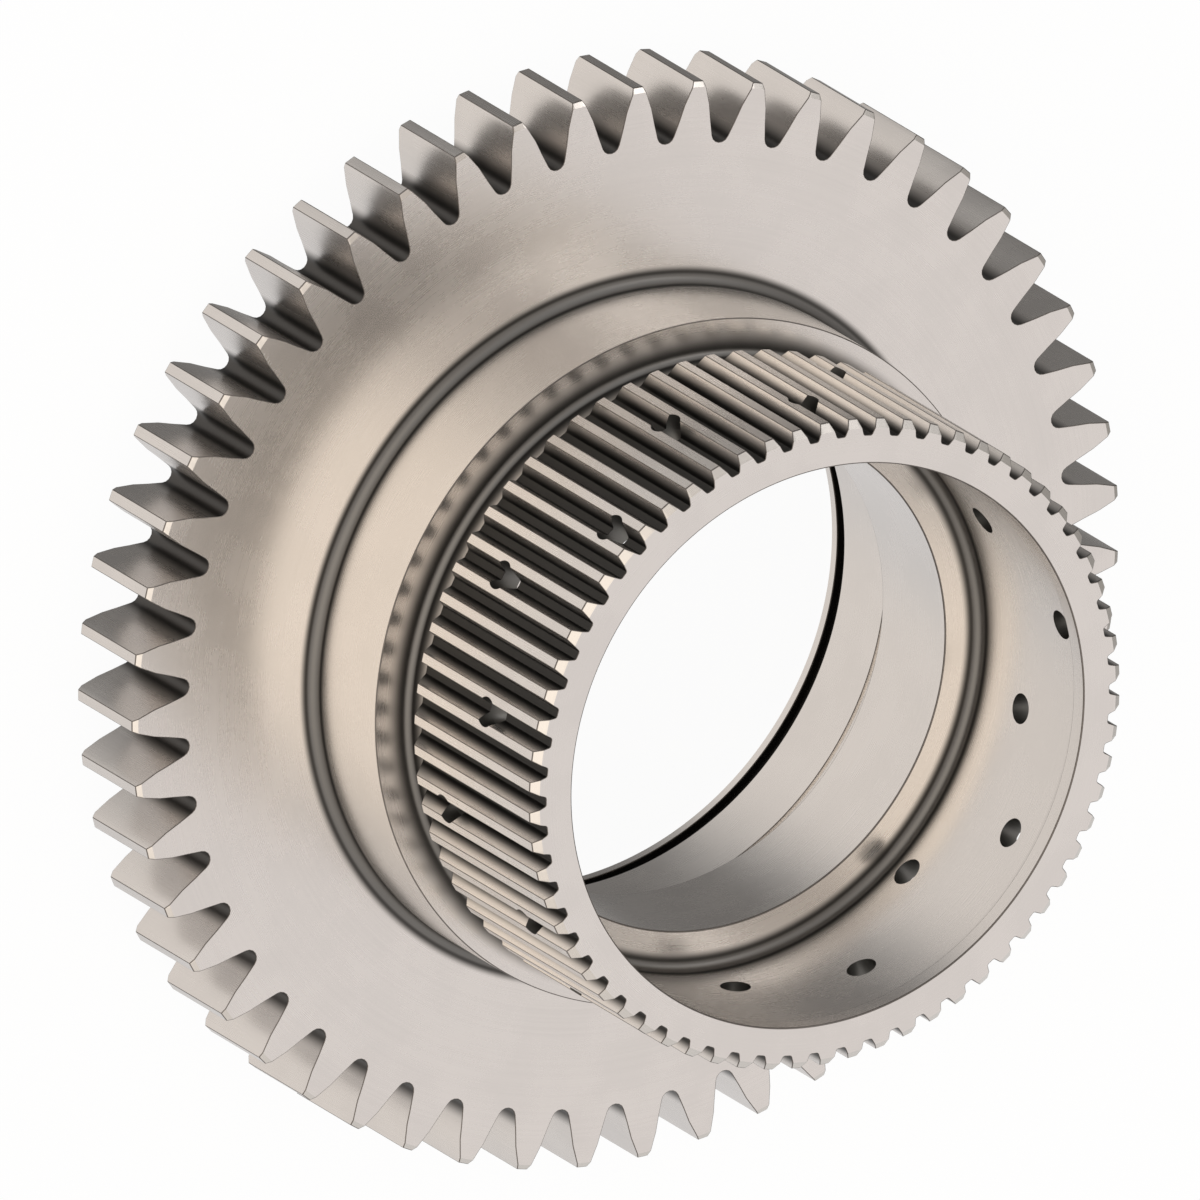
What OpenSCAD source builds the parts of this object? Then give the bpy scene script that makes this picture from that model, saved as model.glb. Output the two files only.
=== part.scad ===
// Driven gear with a splined clutch hub, one solid of steel. It lies on its rear
// boss, the gear axis is +Z and the origin is on that axis in the rear face.
// The rim carries tall spur teeth. In front of it stands a stepped hub whose
// splines drive the clutch plates, with oil holes drilled through the spline gaps.

/* [Gear teeth] */
// Number of gear teeth
gear_teeth = 51; // [45:1:60]
// Gear module, pitch diameter divided by the number of teeth
gear_module = 3.75; // [3.25:0.25:4.5]
// Pressure angle of the gear teeth, degrees
gear_pressure_angle = 15; // [14.5:0.5:20]
// Height of a tooth above the pitch circle, in modules
gear_addendum = 1.5; // [1:0.05:1.5]
// Depth of a gap below the pitch circle, in modules
gear_dedendum = 1.5; // [1.25:0.05:1.6]
// Radius of the round bottom of a tooth gap
gear_root_fillet = 1.7; // [1:0.1:1.8]
// Width of the toothed rim along the axis
face_w = 20.2; // [16:0.1:28]
// Tip bevel of the gear teeth, measured across the end face
tip_bevel_r = 1; // [0.3:0.1:2]
// Tip bevel of the gear teeth, measured along the tooth
tip_bevel_h = 0.6; // [0.2:0.1:2]

/* [Hub outside] */
// Diameter of the plain step between rim and splines
step_d = 128; // [126:0.5:140]
// Height of the plain step in front of the rim
step_h = 21.3; // [16:0.1:30]
// Height of the whole hub in front of the rim
hub_h = 70.9; // [64:0.1:90]
// Fillet between rim and step
rim_fillet = 1.9; // [0.8:0.1:3]
// Fillet between step face and neck
neck_fillet = 1.4; // [0.6:0.1:2.4]
// Length of the neck between step face and splines, on the spline tips
neck_l = 7.8; // [6:0.1:12]
// How far the neck lies below the bottoms of the spline gaps
neck_relief = 0.7; // [0.3:0.1:1.4]
// Height of the rear boss behind the rim
boss_h = 3.9; // [2:0.1:8]
// Diameter of the rear boss
boss_d = 128; // [122:0.5:140]
// Bevel on the edges of the rear boss
boss_bevel = 0.5; // [0.2:0.1:1]

/* [Splines] */
// Number of splines
spline_teeth = 66; // [65:1:69]
// Spline module
spline_module = 1.8; // [1.78:0.01:1.86]
// Pressure angle of the splines, degrees
spline_pressure_angle = 22.5; // [20:0.5:25]
// Height of a spline above its pitch circle
spline_addendum = 1.2; // [0.8:0.1:1.5]
// Depth of a spline gap below the pitch circle
spline_dedendum = 1.6; // [1.2:0.1:2]
// Size of the corner cut at the bottom of a spline gap
spline_corner = 0.35; // [0.1:0.05:0.5]
// Bevel on the spline ends, measured across the front face
spline_bevel_r = 1.5; // [0.5:0.1:2]
// Bevel on the spline ends, measured along the splines
spline_bevel_h = 1.2; // [0.4:0.1:2]

/* [Hub inside] */
// Wall between the spline gaps and the front bore
hub_wall = 3.7; // [2.6:0.1:5]
// How far the front lip stands in from the front bore
lip_inset = 1.6; // [0.5:0.1:3]
// Length of the front lip
lip_l = 3.6; // [2:0.1:8]
// Fillet at the floor of the front bore
bore_fillet = 1.9; // [0.6:0.1:3]
// Depth of the front bore, from the front face to its floor
bore_depth = 39.1; // [34:0.1:44]
// Diameter of the shaft clearance hole between the two bores
land_d = 93.6; // [80:0.1:98]

/* [Bearing seat] */
// Diameter of the bearing seat
seat_d = 110; // [106:0.5:113]
// Length of the bearing seat
seat_l = 14.7; // [8:0.1:20]
// Length of the relief in front of the bearing seat
relief_l = 12.9; // [4:0.1:16]
// How far the relief lies outside the bearing seat
relief_depth = 0.4; // [0.2:0.1:1]
// Width of the retaining ring groove
groove_w = 3.85; // [2:0.05:5]
// Depth of the retaining ring groove below the seat
groove_depth = 2; // [0.8:0.1:2.5]
// Width of the land behind the groove
rear_land_l = 2.3; // [1.5:0.1:6]
// How far the rear land lies outside the bearing seat
rear_land_clear = 0.8; // [0.2:0.1:1]

/* [Oil holes] */
// Diameter of the oil holes
oil_hole_d = 5.5; // [3:0.1:6.5]
// Distance of the last row of oil holes from the front face
oil_row_end = 8.9; // [7:0.1:12]
// Distance between neighbouring rows of oil holes
oil_row_pitch = 4.8; // [2:0.1:5.2]
// How often the pattern of six oil holes repeats around the hub
oil_repeats = 3; // [1:1:3]

/* [Hidden] */
// Steps in a quarter of a fillet, in the round bottom of a tooth gap and along a
// tooth flank
fillet_steps = 6;
root_steps = 8;
flank_steps = 6;
// How far a cutter runs past the surface that it opens
over = 1;
// Spline gaps and rows that the six oil holes of one pattern take, counted
// from the hole at angle 0, so that neighbouring holes lie far apart
oil_gaps = [0, 3, 7, 11, 14, 18];
oil_rows = [0, 4, 2, 5, 1, 3];
last_oil_row = max(oil_rows);

// Heights above the rear face
rim_z = boss_h;
rim_top = rim_z + face_w;
step_z = rim_top + step_h;
spline_z = step_z + neck_l;
hub_top = rim_top + hub_h;
groove_z = rear_land_l;
seat_z = groove_z + groove_w;
relief_z = seat_z + seat_l;
land_z = relief_z + relief_l;
bore_z = hub_top - bore_depth;

// Radii of the gear teeth
gear_pitch_r = gear_module * gear_teeth / 2;
gear_base_r = gear_pitch_r * cos(gear_pressure_angle);
gear_tip_r = gear_pitch_r + gear_addendum * gear_module;
gear_root_r = gear_pitch_r - gear_dedendum * gear_module;
// Below this radius a flank is straight, above it an involute
gear_form_r = gear_pitch_r - 0.43 * gear_module;

// Radii of the splines and of the walls that follow them
spline_pitch_r = spline_module * spline_teeth / 2;
spline_base_r = spline_pitch_r * cos(spline_pressure_angle);
spline_tip_r = spline_pitch_r + spline_addendum;
spline_root_r = spline_pitch_r - spline_dedendum;
neck_r = spline_root_r - neck_relief;
bore_r = spline_root_r - hub_wall;
lip_r = bore_r - lip_inset;

// Radii of the other round walls
step_r = step_d / 2;
boss_r = boss_d / 2;
land_r = land_d / 2;
seat_r = seat_d / 2;
relief_r = seat_r + relief_depth;
groove_r = seat_r + groove_depth;
rear_land_r = seat_r + rear_land_clear;
// The splines end at the neck with the slope of their front bevel
spline_slope = spline_bevel_h / spline_bevel_r;

function polar(r, a) = [r * cos(a), r * sin(a)];

// Involute function of an angle in degrees, with its result in degrees too
function involute(a) = tan(a) * 180 / PI - a;

// Half the angle of a gap at radius r, for teeth as wide as their gaps on the
// pitch circle
function half_gap(r, n, base_r, pa) =
    90 / n - involute(pa) + involute(acos(min(1, base_r / r)));

// Quarter circle from angle a0 to angle a1 around a centre, as points
function arc(c, r, a0, a1) =
    [for (i = [0 : fillet_steps]) c + polar(r, a0 + (a1 - a0) * i / fillet_steps)];

// Flank of a gear tooth gap: radii and half angles from the form circle to just
// past the tip circle
function gear_flank() = [for (i = [0 : flank_steps])
    let (r = gear_form_r + (gear_tip_r + over - gear_form_r) * i / flank_steps)
    [r, half_gap(r, gear_teeth, gear_base_r, gear_pressure_angle)]];

// Round bottom of a gear tooth gap, from one flank to the other
function gear_bottom(a) = [for (i = [0 : root_steps])
    let (b = -72 + 144 * i / root_steps,
         x = gear_root_r + gear_root_fillet * (1 - cos(b)),
         y = gear_root_fillet * sin(b))
    [x * cos(a) - y * sin(a), x * sin(a) + y * cos(a)]];

// Outline of the gear seen along its axis, with a gap centred on angle 0
module gear_outline() {
    flank = gear_flank();
    last = len(flank) - 1;
    polygon([for (k = [0 : gear_teeth - 1]) let (a = k * 360 / gear_teeth)
        each concat(
            [for (i = [last : -1 : 0]) polar(flank[i][0], a - flank[i][1])],
            gear_bottom(a),
            [for (i = [0 : last]) polar(flank[i][0], a + flank[i][1])])]);
}

// Flank of a spline gap, from the corner cut at its bottom to just past the tip
// circle
function spline_flank() = concat(
    [[spline_root_r, half_gap(spline_root_r, spline_teeth, spline_base_r,
        spline_pressure_angle) - spline_corner / spline_root_r * 180 / PI]],
    [for (r = [spline_root_r + spline_corner, spline_pitch_r, spline_tip_r + over])
        [r, half_gap(r, spline_teeth, spline_base_r, spline_pressure_angle)]]);

// Outline of the splines seen along the axis, with a gap centred on angle 0
module spline_outline() {
    flank = spline_flank();
    last = len(flank) - 1;
    polygon([for (k = [0 : spline_teeth - 1]) let (a = k * 360 / spline_teeth)
        each concat(
            [for (i = [last : -1 : 0]) polar(flank[i][0], a - flank[i][1])],
            [for (i = [0 : last]) polar(flank[i][0], a + flank[i][1])])]);
}

// Section of the turned blank: up the outside from the rear face, then down
// through the front bore, the clearance hole and the bearing seat
module blank() {
    rotate_extrude($fn = 240) polygon(concat(
        [[boss_r - boss_bevel, 0], [boss_r, boss_bevel], [boss_r, rim_z]],
        [[gear_tip_r - tip_bevel_r, rim_z], [gear_tip_r, rim_z + tip_bevel_h],
         [gear_tip_r, rim_top - tip_bevel_h], [gear_tip_r - tip_bevel_r, rim_top]],
        arc([step_r + rim_fillet, rim_top + rim_fillet], rim_fillet, 270, 180),
        [[step_r, step_z]],
        arc([neck_r + neck_fillet, step_z + neck_fillet], neck_fillet, 270, 180),
        [[neck_r, spline_z - (spline_tip_r - neck_r) * spline_slope],
         [spline_tip_r, spline_z], [spline_tip_r, hub_top - spline_bevel_h],
         [spline_tip_r - spline_bevel_r, hub_top]],
        [[lip_r, hub_top], [lip_r, hub_top - lip_l], [bore_r, hub_top - lip_l]],
        arc([bore_r - bore_fillet, bore_z + bore_fillet], bore_fillet, 360, 270),
        [[land_r, bore_z], [land_r, land_z], [relief_r, land_z],
         [relief_r, relief_z], [seat_r, relief_z], [seat_r, seat_z],
         [groove_r, seat_z], [groove_r, groove_z], [rear_land_r, groove_z],
         [rear_land_r, boss_bevel], [rear_land_r + boss_bevel, 0]]));
}

// Ring-shaped cutters that leave the teeth and the splines standing
module gear_gaps() {
    translate([0, 0, rim_z - over]) linear_extrude(face_w + 2 * over)
        difference() {
            circle(r = gear_tip_r + 4 * over, $fn = 120);
            gear_outline();
        }
}

module spline_gaps() {
    cut_z = step_z + neck_fillet + over / 2;
    translate([0, 0, cut_z]) linear_extrude(hub_top + over - cut_z)
        difference() {
            circle(r = spline_tip_r + 3 * over, $fn = 120);
            spline_outline();
        }
}

// Radial oil holes, each on the centre line of a spline gap
module oil_holes() {
    for (turn = [0 : oil_repeats - 1], i = [0 : len(oil_gaps) - 1]) {
        gap = round(turn * spline_teeth / oil_repeats) + oil_gaps[i];
        z = hub_top - oil_row_end - (last_oil_row - oil_rows[i]) * oil_row_pitch;
        rotate([0, 0, gap * 360 / spline_teeth])
            translate([lip_r - 2 * over, 0, z])
                rotate([0, 90, 0])
                    cylinder(d = oil_hole_d, h = spline_tip_r - lip_r + 4 * over, $fn = 32);
    }
}

module driven_gear() {
    color("silver") difference() {
        blank();
        gear_gaps();
        spline_gaps();
        oil_holes();
    }
}

driven_gear();
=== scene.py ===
# %% [markdown]
# # Driven gear
# A steel gear wheel from a gearbox. Its rim carries tall straight teeth, and in front
# of it stands a hollow hub whose outer splines drive the plates of a clutch. Small
# holes let oil out between the splines, and a bearing sits in the bore from behind.
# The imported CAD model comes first. Everything in this lesson is in metres and in its
# frame: the gear axis is +Z, and the rear boss stands on z = 0.

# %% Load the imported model
from math import acos, cos, pi, radians, sin, tan

import bmesh
import bpy
import numpy as np
from mathutils import Matrix, Vector


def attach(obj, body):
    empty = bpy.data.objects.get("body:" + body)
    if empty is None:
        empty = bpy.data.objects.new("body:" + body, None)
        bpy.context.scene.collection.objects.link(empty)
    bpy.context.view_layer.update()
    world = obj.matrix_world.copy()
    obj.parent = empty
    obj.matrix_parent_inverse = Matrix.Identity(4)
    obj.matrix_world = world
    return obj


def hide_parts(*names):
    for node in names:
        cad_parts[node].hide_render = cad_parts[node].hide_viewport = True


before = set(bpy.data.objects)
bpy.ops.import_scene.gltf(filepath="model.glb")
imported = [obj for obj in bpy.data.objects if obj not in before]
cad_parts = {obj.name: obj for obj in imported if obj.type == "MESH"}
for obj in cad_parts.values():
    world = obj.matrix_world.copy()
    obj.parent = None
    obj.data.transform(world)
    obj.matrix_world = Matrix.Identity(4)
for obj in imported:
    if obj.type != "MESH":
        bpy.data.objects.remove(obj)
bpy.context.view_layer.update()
MM = 0.001

# %% [markdown]
# ## Camera
# The photograph was taken from far away, so its lines stay parallel and an
# orthographic camera fits it. The three directions below are the camera's right, up
# and backward axes. They were worked out from the ellipses that the round edges of
# the rim and hub make in the picture, and the middle of the picture from the place of
# their centres. The picture is 212.867 mm wide at the gear.

# %% Camera at the photograph's angle
right = Vector((0.28352, -0.81673, 0.50257))
up = Vector((0.94336, 0.14338, -0.29920))
back = Vector((0.17233, 0.55893, 0.81112))
middle = Vector((0, 0, 24.1 * MM)) - 4.774 * MM * right + 4.600 * MM * up
far_away = 1.5
camera = bpy.data.objects.new("camera", bpy.data.cameras.new("camera"))
camera.data.type = "ORTHO"
camera.data.ortho_scale = 0.212867
camera.matrix_world = (Matrix.Translation(middle + far_away * back)
                       @ Matrix((right, up, back)).transposed().to_4x4())
bpy.context.scene.collection.objects.link(camera)
bpy.context.scene.camera = camera
print("camera stands at", [round(v, 3) for v in camera.location])

# %% [markdown]
# ## Sizes
# These are the sizes of the real gear in millimetres, the same that the CAD model
# has. The pitch circle is the one on which two gears would roll without slipping. The
# front ends of teeth and splines are bevelled outside the radii TOOTH_BEVEL and
# SPLINE_BEVEL. Only the tips of the teeth lie a thousandth of a millimetre deeper than
# in the CAD model, so that rounding never takes them out of its box. Both rims are
# walked in the same number of columns, 1122, because that is 51 gear teeth times 22
# and also 66 splines times 17.

# %% Sizes in millimetres
GEAR = dict(count=51, pitch=95.625, angle=15.0, tip=101.249, root=90.0, columns=22)
SPLINE = dict(count=66, pitch=59.4, angle=22.5, tip=60.6, root=57.8, columns=17)
RIM_Z, RIM_TOP, STEP_Z, SPLINE_Z, HUB_TOP = 3.9, 24.1, 45.4, 53.2, 95.0
STEP, NECK, BORE, LIP, LAND, SEAT = 64.0, 57.1, 54.1, 52.5, 46.8, 55.0
TOOTH_BEVEL, TOOTH_SLOPE = 100.25, 0.6
SPLINE_BEVEL, SPLINE_SLOPE = 59.1, 0.8
WEB_FILLET, NECK_FILLET, BORE_FILLET, BORE_FLOOR = 1.9, 1.4, 1.9, 55.9
EDGE, TIP_ARC = 0.14, 0.15
FINE = GEAR["count"] * GEAR["columns"]
COARSE = FINE // 3
print(FINE, "columns on the teeth and", COARSE, "on the turned walls")

# %% [markdown]
# ## Shape of a tooth gap
# Gear teeth are cut as involutes: the path of a string's end as it unwinds from a
# circle. Half the angle of a gap at radius r follows from that curve alone, so the
# outline is worked out and not drawn. Every sharp corner gets a small arc, as
# grinding and tumbling leave it.

# %% Helpers for outlines
def involute(angle):
    """Involute function: tan(angle) - angle, in radians."""
    return tan(angle) - angle


def half_gap(r, wheel):
    """Half the angle of a gap at radius r: a quarter of the pitch, plus the involute
    function at r less the one on the pitch circle."""
    base = wheel["pitch"] * cos(radians(wheel["angle"]))
    return (pi / 2 / wheel["count"] - involute(radians(wheel["angle"]))
            + involute(acos(min(1.0, base / r))))


def polar(r, angle):
    """Point at radius r and an angle in radians."""
    return np.stack([r * np.cos(angle), r * np.sin(angle)], axis=-1)


def corner_arc(before, corner, after, radius, chords):
    """Arc that touches both lines of a corner. Its centre lies on the corner's
    bisector at radius / sin(half angle), and its points swing from one touching
    point to the other in equal turns."""
    before, corner, after = (np.asarray(p, float) for p in (before, corner, after))
    u = (before - corner) / np.linalg.norm(before - corner)
    v = (after - corner) / np.linalg.norm(after - corner)
    half = np.arccos(np.clip(u @ v, -1, 1)) / 2
    hub = corner + (u + v) / np.linalg.norm(u + v) * radius / np.sin(half)
    start, end = corner + u * radius / np.tan(half), corner + v * radius / np.tan(half)
    turn = np.pi - 2 * half
    t = np.linspace(0, 1, chords + 1)[:, None]
    return hub + (np.sin((1 - t) * turn) * (start - hub)
                  + np.sin(t * turn) * (end - hub)) / np.sin(turn)


print("gap of a gear tooth on its pitch circle:",
      round(2 * GEAR["pitch"] * half_gap(GEAR["pitch"], GEAR), 2), "mm")

# %% [markdown]
# One gap is drawn from its middle to the middle of the next tooth, mirrored and then
# repeated round the wheel. The bottom of a gear gap is one round fillet, and that of a
# spline gap is flat with small corners.

# %% Outlines of the teeth and of the splines
def gear_half():
    """Half a gear gap: a round bottom up to 72 degrees, the involute flank, a corner
    arc at the tip and the middle of the tooth."""
    b = np.radians([0, 24, 48, 72])
    round_r = 1.7
    bottom = np.stack([GEAR["root"] + round_r * (1 - np.cos(b)), round_r * np.sin(b)], axis=-1)
    flank = [polar(r, half_gap(r, GEAR)) for r in (94.01, 97.0, TOOTH_BEVEL)]
    tip = polar(GEAR["tip"], half_gap(GEAR["tip"], GEAR))
    middle = polar(GEAR["tip"], pi / GEAR["count"])
    return np.vstack([bottom, flank, corner_arc(flank[-1], tip, middle, TIP_ARC, 3), [middle]])


def spline_half():
    """Half a spline gap: a flat bottom, a corner arc of 0.4, the flank and a corner
    arc at the tip."""
    floor = polar(SPLINE["root"], 0.0)
    root, flank, tip = (polar(r, half_gap(r, SPLINE))
                        for r in (SPLINE["root"], 59.15, SPLINE["tip"]))
    land = polar(SPLINE["tip"], pi / SPLINE["count"])
    return np.vstack([[floor], corner_arc(floor, root, flank, 0.4, 2), [flank],
                      corner_arc(flank, tip, land, TIP_ARC, 3)])


def outline(half, wheel):
    """Whole outline: the half gap and its mirror image, turned by one pitch for each
    tooth. Column 0 is the middle of the gap at angle 0."""
    r, a = np.hypot(*half.T), np.arctan2(half[:, 1], half[:, 0])
    pitch = 2 * pi / wheel["count"]
    back_r, back_a = r[1:][::-1], pitch - a[1:][::-1]
    if abs(back_a[0] - a[-1]) < 1e-9:
        back_r, back_a = back_r[1:], back_a[1:]
    r, a = np.concatenate([r, back_r]), np.concatenate([a, back_a])
    turns = np.arange(wheel["count"])[:, None] * pitch
    return polar(np.tile(r, wheel["count"]), (turns + a).ravel())


gear_line = outline(gear_half(), GEAR)
spline_line = outline(spline_half(), SPLINE)
print("outline points:", len(gear_line), "and", len(spline_line))

# %% [markdown]
# ## Rings along the section
# The whole gear is one closed surface with two parameters: the column, which goes
# round the axis, and the ring, which goes round the cross-section, up the outside
# and down through the bore. A turned wall is a circle for each corner of the section.
# On the teeth a ring follows the outline. Where two faces meet, five rings make a
# quarter round of 0.14 mm, since no real edge is perfectly sharp.

# %% Rings that follow a toothed outline
def outward(line):
    """Unit normal of a closed outline: the line from the point before to the point
    after, turned by 90 degrees."""
    along = np.roll(line, -1, axis=0) - np.roll(line, 1, axis=0)
    along /= np.linalg.norm(along, axis=1)[:, None]
    return np.stack([along[:, 1], -along[:, 0]], axis=-1)


def end_rings(line, face, side):
    """Quarter round at the end of the teeth, from the end face to the flanks. At the
    angle p a point lies EDGE * (1 - sin p) inside the outline and
    EDGE * (1 - cos p) behind the end face. face(r) is that face's height, and side is
    1 at the front and -1 at the rear."""
    rings = []
    for p in np.radians([0, 22.5, 45, 67.5, 90]):
        flat = line - outward(line) * EDGE * (1 - np.sin(p))
        height = face(np.hypot(*flat.T)) - side * EDGE * (1 - np.cos(p))
        rings.append(np.column_stack([flat, height]))
    return rings


def crease_ring(ring, radius, height):
    """Where a bevel meets the flat face: points outside the radius move in to it."""
    r, a = np.hypot(ring[:, 0], ring[:, 1]), np.arctan2(ring[:, 1], ring[:, 0])
    beyond = r > radius + 0.02
    return np.where(beyond[:, None],
                    np.column_stack([polar(radius, a), np.full(len(a), height)]), ring)


def circle(r, z, columns):
    """Circle of radius r at height z."""
    a = np.arange(columns) * 2 * pi / columns
    return np.column_stack([polar(r, a), np.full(columns, z)])


print("normal of the gear outline at column 0:", outward(gear_line)[0].round(3))

# %% [markdown]
# The end faces of the teeth are flat, with a bevel near the tips. Those of the splines
# have a longer bevel in front, over which the plates slide on, and slope down to the
# neck at the rear, where the cutter ran out. Each is a height that only depends on the
# radius, so one small function describes it.

# %% End faces of the teeth and of the splines
def gear_front(r):
    """Front face of the teeth: flat, with the tip bevel outside TOOTH_BEVEL."""
    return RIM_TOP - np.maximum(0, r - TOOTH_BEVEL) * TOOTH_SLOPE


def gear_rear(r):
    """Rear face of the teeth, the front face turned over."""
    return RIM_Z + np.maximum(0, r - TOOTH_BEVEL) * TOOTH_SLOPE


def spline_front(r):
    """Front face of the splines, with the bevel outside SPLINE_BEVEL."""
    return HUB_TOP - np.maximum(0, r - SPLINE_BEVEL) * SPLINE_SLOPE


def spline_rear(r):
    """Rear end of the splines: a cone that falls to the neck."""
    return SPLINE_Z - (SPLINE["tip"] - r) * SPLINE_SLOPE


rear, front = end_rings(gear_line, gear_rear, -1), end_rings(gear_line, gear_front, 1)
teeth_rings = ([crease_ring(rear[0], TOOTH_BEVEL, RIM_Z)] + rear + front[::-1]
               + [crease_ring(front[0], TOOTH_BEVEL, RIM_TOP)])
rear, front = end_rings(spline_line, spline_rear, -1), end_rings(spline_line, spline_front, 1)
spline_rings = rear + front[::-1] + [crease_ring(front[0], SPLINE_BEVEL, HUB_TOP)]
print("rings on teeth and splines:", len(teeth_rings), "and", len(spline_rings))

# %% [markdown]
# The turned walls come from a list of corners, each with its radius of rounding.
# Fillets are large and hollow, and edges are small and full. Each band between two
# rings gets a slot number for its finish: 0 for a machined face, 1 for an edge, 2 for
# a bevel and 3 for a drilled wall. On the flat web the fine columns of the teeth end
# at radius 87 and the coarse ones of the turned walls start at 75.

# %% Turned walls
FACE, BROKEN, BEVEL, DRILLED = 0, 1, 2, 3


def turned(corners, start, end):
    """Points of a turned section from start to end, and the slot of the band after
    each of them. A corner is (radius, height, rounding, chords)."""
    path = [start] + [c[:2] for c in corners] + [end]
    points, slots = [np.array([start])], [FACE]
    for i, (r, z, rounding, chords) in enumerate(corners):
        arc = (corner_arc(path[i], (r, z), path[i + 2], rounding, chords) if rounding
               else np.array([[r, z]]))
        points.append(arc)
        slots += [BROKEN if 0 < rounding < 0.5 else FACE] * (len(arc) - 1) + [FACE]
    return np.vstack(points + [np.array([end])]), slots + [FACE]


OUTSIDE = [(STEP, RIM_TOP, WEB_FILLET, 10), (STEP, STEP_Z, 0.2, 4),
           (NECK, STEP_Z, NECK_FILLET, 10)]
INSIDE = [(LIP, HUB_TOP, 0.25, 4), (LIP, 91.4, 0.2, 4), (BORE, 91.4, 0, 0),
          (BORE, BORE_FLOOR, BORE_FILLET, 10), (LAND, BORE_FLOOR, 0.25, 4),
          (LAND, 33.75, 0.25, 4),
          (55.4, 33.75, 0, 0), (55.4, 20.85, 0, 0), (SEAT, 20.85, 0.12, 4),
          (SEAT, 6.15, 0.15, 4), (57.0, 6.15, 0, 0), (57.0, 2.3, 0, 0),
          (55.8, 2.3, 0.15, 4), (55.8, 0.5, 0, 0), (56.3, 0, 0, 0), (63.5, 0, 0, 0),
          (STEP, 0.5, 0, 0), (STEP, RIM_Z, 0, 0)]
WEB_FINE, WEB_COARSE = 87, 75
outside, outside_slots = turned(OUTSIDE, (WEB_COARSE, RIM_TOP), (NECK, 47.6))
inside, inside_slots = turned(INSIDE, (54.4, HUB_TOP), (WEB_COARSE, RIM_Z))
print("turned rings:", len(outside), "outside and", len(inside), "inside")

# %% [markdown]
# ## One closed mesh
# The rings are joined into quads. Between a ring of 1122 points and one of 374 the
# faces have six corners, and such a band only lies where the surface is flat or nearly
# so. All faces point outwards because the rings run up the outside and the columns run
# anticlockwise.

# %% Join the rings
def flank_slots(wheel, tip_columns):
    """Slot of each face along the teeth: edge on the columns of the tip arcs and of
    their mirror images, and face on all others."""
    n = wheel["columns"]
    at_tip = list(tip_columns) + [n - 1 - j for j in tip_columns]
    return np.where(np.isin(np.arange(FINE) % n, at_tip), BROKEN, FACE)


rings = [circle(WEB_FINE, RIM_Z, FINE)] + teeth_rings + [circle(WEB_FINE, RIM_TOP, FINE)]
band_slots = ([FACE, BEVEL] + [BROKEN] * 4 + [flank_slots(GEAR, (7, 8, 9))]
              + [BROKEN] * 4 + [BEVEL, FACE, FACE])
rings += [circle(r, z, COARSE) for r, z in outside]
band_slots += outside_slots
rings += [circle(NECK, 50.4, FINE)] + spline_rings + [circle(56.3, HUB_TOP, FINE)]
band_slots += ([FACE] + [BROKEN] * 4 + [flank_slots(SPLINE, (5, 6, 7))]
               + [BROKEN] * 4 + [BEVEL, FACE, FACE])
rings += [circle(r, z, COARSE) for r, z in inside]
band_slots += inside_slots


def band(first, second, n, m):
    """Corners of the faces between two rings that start at vertex first and second
    and hold n and m points. Equal rings give quads, and a ring three times as fine
    as the other gives faces with six corners."""
    j = np.arange(min(n, m))
    nxt = (j + 1) % min(n, m)
    if n == m:
        return np.column_stack([first + j, first + nxt, second + nxt, second + j])
    fine = [3 * j, 3 * j + 1, 3 * j + 2, 3 * nxt]
    if n > m:
        return np.column_stack([first + f for f in fine] + [second + nxt, second + j])
    return np.column_stack([first + j, first + nxt] + [second + f for f in fine[::-1]])


sizes = [len(r) for r in rings]
starts = np.concatenate([[0], np.cumsum(sizes)[:-1]])
bands = [band(starts[k], starts[(k + 1) % len(rings)], sizes[k], sizes[(k + 1) % len(rings)])
         for k in range(len(rings))]
vertices = np.vstack(rings) * MM
print(len(vertices), "points and", sum(len(b) for b in bands), "faces before merging")

# %% [markdown]
# A mesh in Blender is three long lists: the places of the points, the point numbers of
# all face corners one after another, and the corner at which each face starts. The
# arrays go in whole, which is far quicker than adding faces one at a time. Points that
# two rings share are then merged, so that the surface closes.

# %% Make the mesh
def mesh_from(name, points, faces, slots):
    """Mesh from an array of points and a list of face arrays, one array for each
    number of corners, with the material slot of each array's faces, or of each face."""
    mesh = bpy.data.meshes.new(name)
    total = np.concatenate([np.full(len(f), f.shape[1]) for f in faces])
    corners = np.concatenate([f.ravel() for f in faces])
    mesh.vertices.add(len(points))
    mesh.vertices.foreach_set("co", points.astype(np.float32).ravel())
    mesh.loops.add(len(corners))
    mesh.loops.foreach_set("vertex_index", corners.astype(np.int32))
    mesh.polygons.add(len(total))
    mesh.polygons.foreach_set("loop_start",
                              np.concatenate([[0], np.cumsum(total)[:-1]]).astype(np.int32))
    mesh.polygons.foreach_set("material_index", np.concatenate(
        [np.full(len(f), s) for f, s in zip(faces, slots)]).astype(np.int32))
    mesh.update(calc_edges=True)
    return mesh


body = mesh_from("gear_body", vertices, bands, band_slots)
loose = bmesh.new()
loose.from_mesh(body)
bmesh.ops.remove_doubles(loose, verts=loose.verts, dist=0.0005 * MM)
open_edges = sum(1 for e in loose.edges if not e.is_manifold)
volume = loose.calc_volume(signed=True) / MM ** 3
loose.to_mesh(body)
loose.free()
gear = bpy.data.objects.new("gear_body", body)
bpy.context.scene.collection.objects.link(gear)
print("faces:", len(body.polygons), "open edges:", open_edges, "volume in mm3:", round(volume))

# %% [markdown]
# ## Oil holes
# Eighteen holes are drilled from outside through the bottoms of spline gaps, in six
# rows, and the pattern repeats three times. A drill is a turned shape, so each cutter
# is a profile turned about its own axis. A Boolean takes all of them out of the body
# at once.

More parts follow.
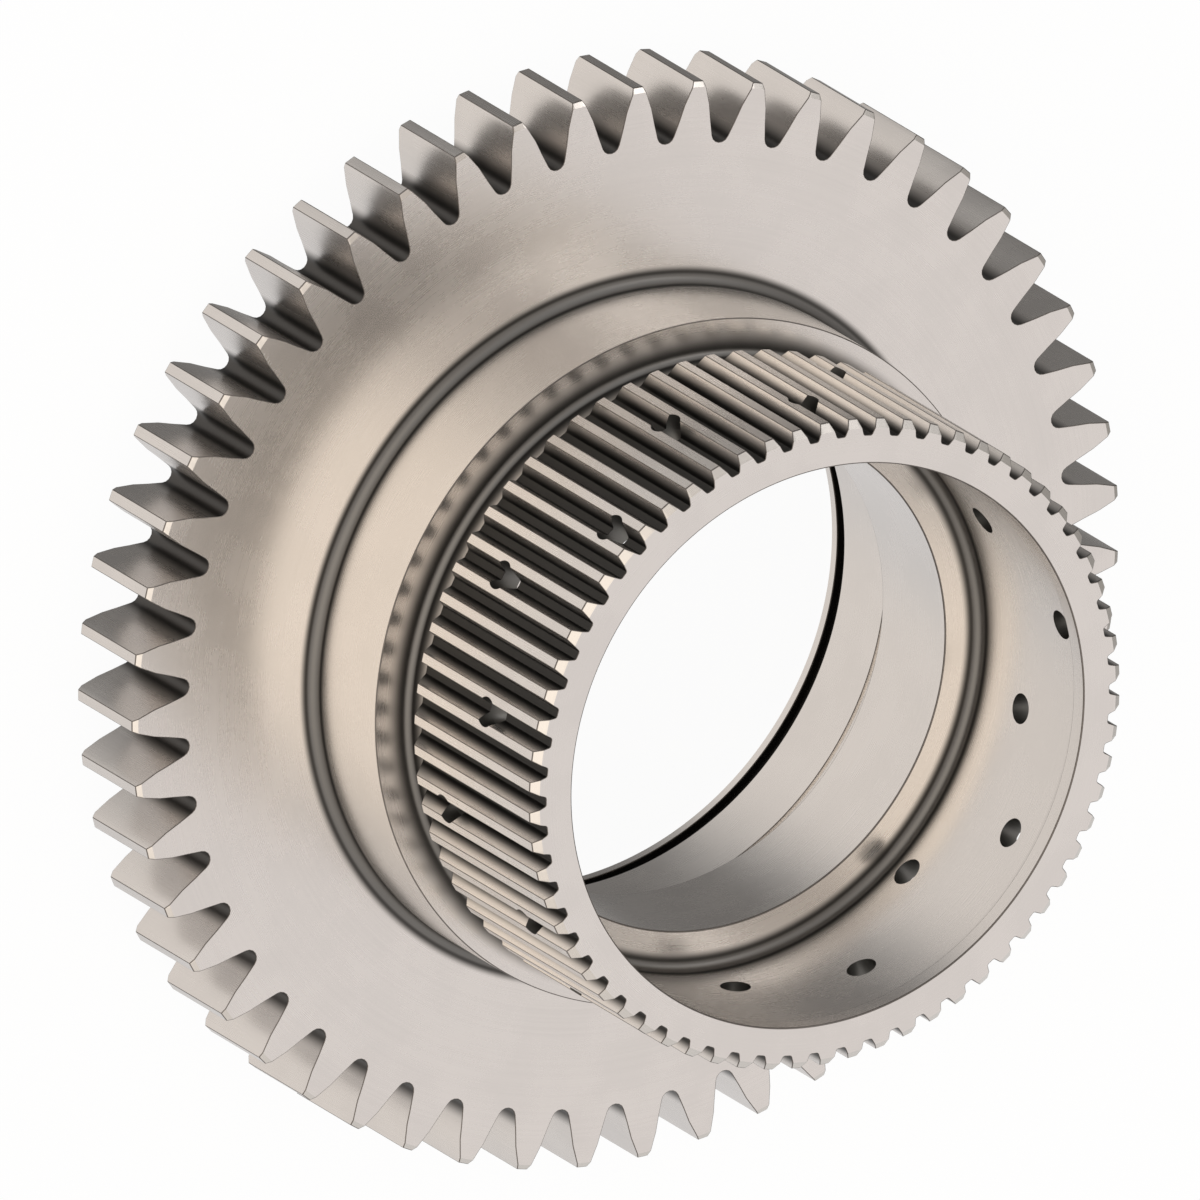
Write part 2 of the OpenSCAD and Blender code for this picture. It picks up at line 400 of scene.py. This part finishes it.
# %% Drills
def drills(angles, heights, profile, sides):
    """Cutters that lie along the radius: a point at distance d along the drill and
    width w sits at d * (cos a, sin a, 0) + w * (-sin a * cos t, cos a * cos t,
    sin t) + (0, 0, height), where t goes once round the drill."""
    t = np.arange(sides) * 2 * pi / sides
    d, w = np.array(profile).T
    a, h = angles[:, None, None], heights[:, None, None]
    d, w = d[None, :, None], w[None, :, None]
    zero = np.zeros((len(angles), len(profile), sides))
    points = np.stack([d * np.cos(a) - w * np.sin(a) * np.cos(t) + zero,
                       d * np.sin(a) + w * np.cos(a) * np.cos(t) + zero,
                       h + w * np.sin(t) + zero], axis=-1).reshape(-1, 3)
    block = (np.arange(len(angles)) * len(profile) * sides)[:, None]
    j = np.arange(sides)
    faces, slots = [], []
    for k in range(len(profile) - 1):
        lower, upper = k * sides, (k + 1) * sides
        ring = np.stack([lower + j, lower + (j + 1) % sides,
                         upper + (j + 1) % sides, upper + j], axis=-1)
        faces.append((block[:, :, None] + ring[None]).reshape(-1, 4))
        slots.append(DRILLED)
    last = (len(profile) - 1) * sides
    faces += [block + j[::-1], block + last + j]
    return points, faces, slots + [DRILLED, DRILLED]


DRILL_SIDES = 48
print("each drill has", DRILL_SIDES, "sides")

# %% [markdown]
# The pattern of a third of the hub is a list of gap numbers with the row of each. The
# rows lie 4.8 mm apart, and the last is 8.9 mm below the front face. The drills start
# inside the bore and end outside the splines, so that they cut right through.

# %% Places of the oil holes
HOLE_R, ROW_STEP, LAST_ROW, REPEATS = 2.75, 4.8, 8.9, 3
gaps, rows = np.array([0, 3, 7, 11, 14, 18]), np.array([0, 4, 2, 5, 1, 3])
gap_number = (np.arange(REPEATS)[:, None] * SPLINE["count"] // REPEATS + gaps).ravel()
row_height = HUB_TOP - LAST_ROW - (rows.max() - np.tile(rows, REPEATS)) * ROW_STEP
points, faces, slots = drills(gap_number * 2 * pi / SPLINE["count"], row_height,
                              [(50.5, HOLE_R), (63, HOLE_R)], DRILL_SIDES)
cutter = bpy.data.objects.new("drills", mesh_from("drills", points * MM, faces, slots))
bpy.context.scene.collection.objects.link(cutter)
print("holes:", len(gap_number), "in rows at", sorted(set(row_height.round(1))), "mm")

# %% [markdown]
# ## Finishes
# The whole gear is one steel, but four kinds of surface show on it: machined faces,
# ground bevels, broken edges painted dark so that they show as thin lines, and
# drilled walls painted dark as the shade inside the holes. All use the same two
# effects, turning marks and shade painted into corners, so each effect is a node
# group with its own inputs.

# %% Helpers for nodes
def add(tree, kind, inputs=(), **settings):
    """Adds a node, sets its properties and fills its inputs: a socket is linked and
    a value is written in."""
    made = tree.nodes.new(kind)
    for name, value in settings.items():
        setattr(made, name, value)
    for name, value in dict(inputs).items():
        if isinstance(value, bpy.types.NodeSocket):
            tree.links.new(value, made.inputs[name])
        else:
            made.inputs[name].default_value = value
    return made


def calc(tree, operation, *terms):
    """Result of a Math node on sockets or numbers."""
    return add(tree, "ShaderNodeMath", enumerate(terms), operation=operation).outputs[0]


def ramp(tree, value, low, high, first=0.0, last=1.0):
    """Smooth change from first to last while value goes from low to high."""
    return add(tree, "ShaderNodeMapRange", {"Value": value, "From Min": low, "From Max": high,
                                            "To Min": first, "To Max": last},
               interpolation_type="SMOOTHSTEP").outputs[0]


def blend(tree, factor, first, second):
    """Colour between first and second."""
    return add(tree, "ShaderNodeMix", {0: factor, 6: first, 7: second},
               data_type="RGBA").outputs[2]


print("helpers:", [f.__name__ for f in (add, calc, ramp, blend)])

# %% [markdown]
# A node group is a small tree of nodes with named inputs and outputs of its own, and
# each finish can hold a copy with its own values. What shows on this gear depends on
# the distance from the axis and on the height, since it was turned. One helper works
# both out from the Object coordinates, which stay with the gear wherever it stands.

# %% Helpers for groups
def group(name, inputs, outputs):
    """New shader node group with float inputs, given with their defaults, and float
    outputs. Returns the group, its input node and its output node."""
    made = bpy.data.node_groups.new(name, "ShaderNodeTree")
    for socket, value in inputs.items():
        made.interface.new_socket(socket, in_out="INPUT",
                                  socket_type="NodeSocketFloat").default_value = value
    for socket in outputs:
        made.interface.new_socket(socket, in_out="OUTPUT", socket_type="NodeSocketFloat")
    return made, made.nodes.new("NodeGroupInput"), made.nodes.new("NodeGroupOutput")


def cylinder_coordinates(tree):
    """The place in space, its distance from the axis and its height, all in
    millimetres."""
    where = add(tree, "ShaderNodeTexCoord").outputs["Object"]
    scaled = add(tree, "ShaderNodeVectorMath", {0: where, 3: 1 / MM},
                 operation="SCALE").outputs[0]
    parts = add(tree, "ShaderNodeSeparateXYZ", {0: scaled}).outputs
    flat = add(tree, "ShaderNodeCombineXYZ", {0: parts[0], 1: parts[1]}).outputs[0]
    radius = add(tree, "ShaderNodeVectorMath", {0: flat}, operation="LENGTH").outputs["Value"]
    return scaled, radius, parts[2]


print("helpers:", [f.__name__ for f in (group, cylinder_coordinates)])

# %% [markdown]
# Turning leaves fine rings on a faced surface and round a turned wall. A noise that
# only reads the radius and the height draws them, since every point of a ring shares
# those two numbers. Teeth and splines are cut along the axis, so on their steep flanks
# the noise reads the place across the axis instead, and its lines run lengthwise. A
# slower noise in space makes the faint cloudiness of hardened steel.

# %% Turning marks
marks, given, out = group("turning marks", {"Spacing": 0.25}, ["Marks", "Clouds"])
space, radius, height = cylinder_coordinates(marks)
tilt = add(marks, "ShaderNodeSeparateXYZ", {
    0: add(marks, "ShaderNodeTexCoord").outputs["Normal"]}).outputs[2]
toothed = calc(marks, "MAXIMUM", ramp(marks, radius, 88.5, 89),
               calc(marks, "MULTIPLY", ramp(marks, radius, 57.3, 57.5),
                    ramp(marks, height, 50.2, 50.6)))
cut = calc(marks, "MULTIPLY", toothed,
           ramp(marks, calc(marks, "ABSOLUTE", tilt), 0.6, 0.4))
ring_place = add(marks, "ShaderNodeCombineXYZ", {0: radius, 1: height}).outputs[0]
cut_place = add(marks, "ShaderNodeVectorMath", {0: space, 1: (1, 1, 0.02)},
                operation="MULTIPLY").outputs[0]
place = add(marks, "ShaderNodeMix", {0: cut, 4: ring_place, 5: cut_place},
            data_type="VECTOR").outputs[1]
rings_noise = add(marks, "ShaderNodeTexNoise", {
    "Vector": place, "Scale": calc(marks, "DIVIDE", 1.0, given.outputs["Spacing"]),
    "Detail": 2.0, "Roughness": 0.6})
cloud_noise = add(marks, "ShaderNodeTexNoise", {"Vector": space, "Scale": 0.09,
                                                "Detail": 4.0, "Roughness": 0.55})
marks.links.new(rings_noise.outputs[0], out.inputs["Marks"])
marks.links.new(cloud_noise.outputs[0], out.inputs["Clouds"])
print("group", marks.name, "with", len(marks.nodes), "nodes")

# %% [markdown]
# Corners where little light reaches get a dark shade painted into their colour. On this
# gear they are the three hollow fillets, the ring groove and the bottoms of the tooth
# gaps. Each is known by its radius and height, so the painted shade is worked out from
# those and stays in its place from every side. The three fillets and the corner behind
# the bore's lip come first.

# %% Painted shade in the fillets
def hollow(tree, radius, height, r, z, side, reach):
    """How much shade is painted in and beside a fillet whose centre is at radius r and
    height z: most along its two borders, less inside, and less and less beside it, up
    to reach. side is 1 for a fillet outside the hub and -1 for one in the bore."""
    across = calc(tree, "MULTIPLY", calc(tree, "SUBTRACT", radius, r), side)
    upward = calc(tree, "SUBTRACT", height, z)
    depth = calc(tree, "MAXIMUM", across, upward)
    shade_amount = calc(tree, "SUBTRACT", ramp(tree, depth, reach, 0.0),
                ramp(tree, depth, -0.05, -0.6, 0.0, 0.13))
    near = calc(tree, "MULTIPLY", ramp(tree, across, -2.6, -2.2),
                ramp(tree, upward, -2.6, -2.2))
    return calc(tree, "MULTIPLY", shade_amount, near)


# Group of masks for the shade painted into the fillets, gaps and groove.
corner_shade, given, out = group("corner_shade", {}, ["Fillets", "Gear gaps", "Spline gaps", "Groove"])
space, radius, height = cylinder_coordinates(corner_shade)
normal = add(corner_shade, "ShaderNodeSeparateXYZ", {
    0: add(corner_shade, "ShaderNodeTexCoord").outputs["Normal"]}).outputs[2]
fillets = 0.0
for r, z, side, reach in (
        (STEP + WEB_FILLET, RIM_TOP + WEB_FILLET, 1, 1.5),
        (NECK + NECK_FILLET, STEP_Z + NECK_FILLET, 1, 3.8),
        (BORE - BORE_FILLET, BORE_FLOOR + BORE_FILLET, -1, 1.8)):
    fillets = calc(corner_shade, "MAXIMUM", fillets,
                   hollow(corner_shade, radius, height, r, z, side, reach))
behind_lip = calc(corner_shade, "MULTIPLY",
                  calc(corner_shade, "MULTIPLY", ramp(corner_shade, height, 88.3, 91.3, 0.0, 0.45),
                       ramp(corner_shade, height, 92.0, 91.6)),
                  calc(corner_shade, "MULTIPLY", ramp(corner_shade, radius, 53.4, 53.8),
                       ramp(corner_shade, radius, 54.6, 54.3)))
fillets = calc(corner_shade, "MAXIMUM", fillets, behind_lip)
corner_shade.links.new(fillets, out.inputs["Fillets"])
print("group", corner_shade.name, "has", len(corner_shade.nodes), "nodes for the fillets")

# %% [markdown]
# The gaps of teeth and splines get most painted shade at their bottoms, and only on
# steep walls, so that the end faces stay light. The ring groove is painted dark all
# over, because no light reaches into it. All four kinds of corner leave the group as masks.

# %% Painted shade in the gaps and the groove
steep = ramp(corner_shade, calc(corner_shade, "ABSOLUTE", normal), 0.8, 0.4)
gear_gap = calc(corner_shade, "MULTIPLY", ramp(corner_shade, radius, 93.8, 90.8),
                ramp(corner_shade, radius, 88, 89))
spline_gap = calc(corner_shade, "MULTIPLY",
                  calc(corner_shade, "MULTIPLY", ramp(corner_shade, radius, 60.3, 58.2),
                       ramp(corner_shade, height, 49.5, 50.5)),
                  ramp(corner_shade, radius, 57.3, 57.5))
gear_gap, spline_gap = (calc(corner_shade, "MULTIPLY", steep, gap) for gap in (gear_gap, spline_gap))
groove = calc(corner_shade, "MULTIPLY",
              calc(corner_shade, "MULTIPLY", ramp(corner_shade, radius, 55.5, 56.2),
                   ramp(corner_shade, radius, 58.5, 58.0)),
              calc(corner_shade, "MULTIPLY", ramp(corner_shade, height, 6.3, 6.1),
                   ramp(corner_shade, height, 2.1, 2.3)))
for name, value in (("Gear gaps", gear_gap), ("Spline gaps", spline_gap), ("Groove", groove)):
    corner_shade.links.new(value, out.inputs[name])
print("group", corner_shade.name, "with", len(corner_shade.nodes), "nodes")

# %% [markdown]
# Bright steel is a metal in Principled: Metallic 1, the base colour is the colour of
# its reflections, and the roughness is what fine grinding leaves. The painted shade
# dims the colour and dulls the gloss. The marks move colour, roughness and height a little.

# %% The steel finishes
def steel(name, colour, roughness, shade_of):
    """Steel material. The last argument says how strongly painted shade darkens each
    kind of corner that the group of corner masks knows."""
    made = bpy.data.materials.new(name)
    made.use_nodes = True
    tree = made.node_tree
    tree.nodes.clear()
    turning = add(tree, "ShaderNodeGroup", {"Spacing": 0.25}, node_tree=marks)
    shade_masks = add(tree, "ShaderNodeGroup", node_tree=corner_shade)
    # Painted shade: each corner mask, scaled, darkens the colour toward the shade colour.
    shade_level = 0.0
    for place, amount in shade_of.items():
        layer = calc(tree, "MULTIPLY", shade_masks.outputs[place], amount)
        shade_level = calc(tree, "MAXIMUM", shade_level, layer)
    lines = ramp(tree, turning.outputs["Marks"], 0.3, 0.7, -0.015, 0.015)
    clouds = ramp(tree, turning.outputs["Clouds"], 0.35, 0.65, -0.02, 0.02)
    tone = calc(tree, "ADD", calc(tree, "ADD", lines, clouds), 1.0)
    toned = add(tree, "ShaderNodeVectorMath", {0: colour[:3], 3: tone},
                operation="SCALE").outputs[0]
    paint = blend(tree, shade_level, toned, SHADE_COLOUR)
    rough = calc(tree, "ADD", calc(tree, "MULTIPLY", calc(tree, "ADD", lines, clouds), 0.6),
                 calc(tree, "ADD", calc(tree, "MULTIPLY", shade_level, 0.15), roughness))
    bump = add(tree, "ShaderNodeBump", {"Height": turning.outputs["Marks"], "Strength": 0.03,
                                        "Distance": 0.00002})
    shader = add(tree, "ShaderNodeBsdfPrincipled", {
        "Base Color": paint, "Metallic": 1.0, "Roughness": rough, "Normal": bump.outputs[0]})
    out = add(tree, "ShaderNodeOutputMaterial")
    tree.links.new(shader.outputs[0], out.inputs[0])
    return made


# Colour of the painted shade, and how strongly it is painted into each kind of corner.
SHADE_COLOUR = (0.025, 0.024, 0.022, 1)
SHADE_STRENGTH = {"Fillets": 0.93, "Gear gaps": 0.93, "Spline gaps": 0.985, "Groove": 0.98}
finishes = [steel("machined steel", (0.70, 0.665, 0.635, 1), 0.27, SHADE_STRENGTH),
            # The broken edges are painted dark, so that they show as thin dark lines.
            steel("steel edges painted dark", (0.14, 0.125, 0.115, 1), 0.30, SHADE_STRENGTH),
            steel("ground bevels", (0.58, 0.545, 0.515, 1), 0.27, SHADE_STRENGTH),
            # The drilled walls are painted dark as the shade inside the holes.
            steel("drilled steel with painted shade", (0.17, 0.165, 0.155, 1), 0.40, {"Spline gaps": 0.6})]
print("finishes:", [m.name for m in finishes])

# %% [markdown]
# ## Finish the body
# The Boolean is applied, and then the shading is set. Faces shade smoothly except
# where they meet at more than 27.5 degrees, which keeps the bevels crisp. Weighted
# normals let the big flat faces rule, so the small rounds blend into them without a
# false shine.

# %% Apply, shade and hand over to the frame
def baked(piece):
    """Replaces an object's mesh by the result of its modifiers."""
    depsgraph = bpy.context.evaluated_depsgraph_get()
    result = bpy.data.meshes.new_from_object(piece.evaluated_get(depsgraph))
    piece.modifiers.clear()
    piece.data = result


for piece in (gear, cutter):
    for finish in finishes:
        piece.data.materials.append(finish)
cut = gear.modifiers.new("oil holes", "BOOLEAN")
cut.operation, cut.solver, cut.object = "DIFFERENCE", "MANIFOLD", cutter
baked(gear)
bpy.data.objects.remove(cutter)
gear.data.polygons.foreach_set("use_smooth", np.ones(len(gear.data.polygons), bool))
gear.data.set_sharp_from_angle(angle=radians(27.5))
weighted = gear.modifiers.new("weighted normals", "WEIGHTED_NORMAL")
weighted.keep_sharp = True
baked(gear)
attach(gear, "root")
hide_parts("driven_gear")
check = bmesh.new()
check.from_mesh(gear.data)
print("faces:", len(gear.data.polygons),
      "triangles:", sum(len(p.vertices) - 2 for p in gear.data.polygons),
      "open edges:", sum(1 for e in check.edges if not e.is_manifold),
      "volume in mm3:", round(check.calc_volume(signed=True) / MM ** 3))
check.free()

# %% [markdown]
# ## Floor and light
# The photograph has a plain white ground. The floor is pale, and the camera sees most
# of it as plain white, with a part left to the light so that the gear keeps its shadow.
# Reflections pass it by, so the steel shows the white studio below it as well.

# %% Floor
def seen_directly(tree):
    """1 for rays from the camera, also through glass, and 0 for light and reflections."""
    rays = add(tree, "ShaderNodeLightPath").outputs
    both = calc(tree, "ADD", rays["Is Camera Ray"], rays["Is Transmission Ray"])
    return calc(tree, "MINIMUM", both, 1)


floor_mesh = bpy.data.meshes.new("floor")
floor_mesh.from_pydata([(-4, -4, 0), (4, -4, 0), (4, 4, 0), (-4, 4, 0)], [], [(0, 1, 2, 3)])
floor = bpy.data.objects.new("floor", floor_mesh)
bpy.context.scene.collection.objects.link(floor)
pale = bpy.data.materials.new("pale floor")
pale.use_nodes = True
tree = pale.node_tree
tree.nodes.clear()
white = add(tree, "ShaderNodeEmission", {"Color": (1, 1, 1, 1), "Strength": 1.0})
paper = add(tree, "ShaderNodeBsdfDiffuse", {"Color": (0.82, 0.81, 0.80, 1)})
plain_white = calc(tree, "MULTIPLY", seen_directly(tree), 0.95)
mixed = add(tree, "ShaderNodeMixShader", {0: plain_white, 1: paper.outputs[0],
                                          2: white.outputs[0]})
out = add(tree, "ShaderNodeOutputMaterial")
tree.links.new(mixed.outputs[0], out.inputs[0])
floor.data.materials.append(pale)
floor.visible_glossy = False
print("floor at z =", floor.location.z)

# %% [markdown]
# Polished steel shows its surroundings more than its own colour. The studio is a white
# tent, and a few parts of it differ, as the reflections in the photograph say: a warm
# lamp behind its left side, a small bright one in front, and grey cards on the right
# and below. The world works each of them out from the angle between the view direction
# and the middle of the part, and lays each over the parts before it.

# %% World
STUDIO = [  # azimuth, elevation, full within, gone beyond, colour
    (-107, 54, 15, 40, (0.94, 0.91, 0.906)),
    (125, 10, 40, 80, (1.08, 1.03, 0.97)),
    (100, 54, 20, 56, (1.74, 1.63, 1.48)),
    (0, 90, 12, 34, (0.98, 0.945, 0.915)),
    (10, 58, 8, 22, (0.72, 0.67, 0.62)),
    (-75, 5, 20, 40, (0.48, 0.47, 0.45)),
    (-45, 60, 12, 31, (0.84, 0.81, 0.77)),
    (-27, 57, 6, 14, (0.60, 0.56, 0.52)),
    (95, -54, 30, 55, (0.93, 0.89, 0.855)),
    (-150, -54, 18, 42, (0.80, 0.795, 0.80)),
    (-38, -49, 17, 50, (0.20, 0.195, 0.19)),
    (-22, 41, 7.5, 10.5, (3.2, 3.15, 3.1))]
world = bpy.data.worlds.new("studio")
bpy.context.scene.world = world
world.use_nodes = True
tree = world.node_tree
tree.nodes.clear()
direction = add(tree, "ShaderNodeTexCoord").outputs["Generated"]


def toward(azimuth, elevation, inner, outer):
    """1 within the angle inner of a direction and 0 beyond the angle outer, all in
    degrees."""
    a, e = radians(azimuth), radians(elevation)
    axis = (cos(a) * cos(e), sin(a) * cos(e), sin(e))
    near = add(tree, "ShaderNodeVectorMath", {0: direction, 1: axis},
               operation="DOT_PRODUCT").outputs["Value"]
    return ramp(tree, near, cos(radians(outer)), cos(radians(inner)))


studio = (0.97, 0.97, 0.96, 1)
for azimuth, elevation, inner, outer, colour in STUDIO:
    studio = blend(tree, toward(azimuth, elevation, inner, outer), studio, (*colour, 1))
shown = blend(tree, seen_directly(tree), studio, (1, 1, 1, 1))
light = add(tree, "ShaderNodeBackground", {"Color": shown, "Strength": 1.0})
out = add(tree, "ShaderNodeOutputWorld")
tree.links.new(light.outputs[0], out.inputs[0])
bpy.context.scene.view_settings.view_transform = "Standard"
print("parts of the studio:", len(STUDIO))
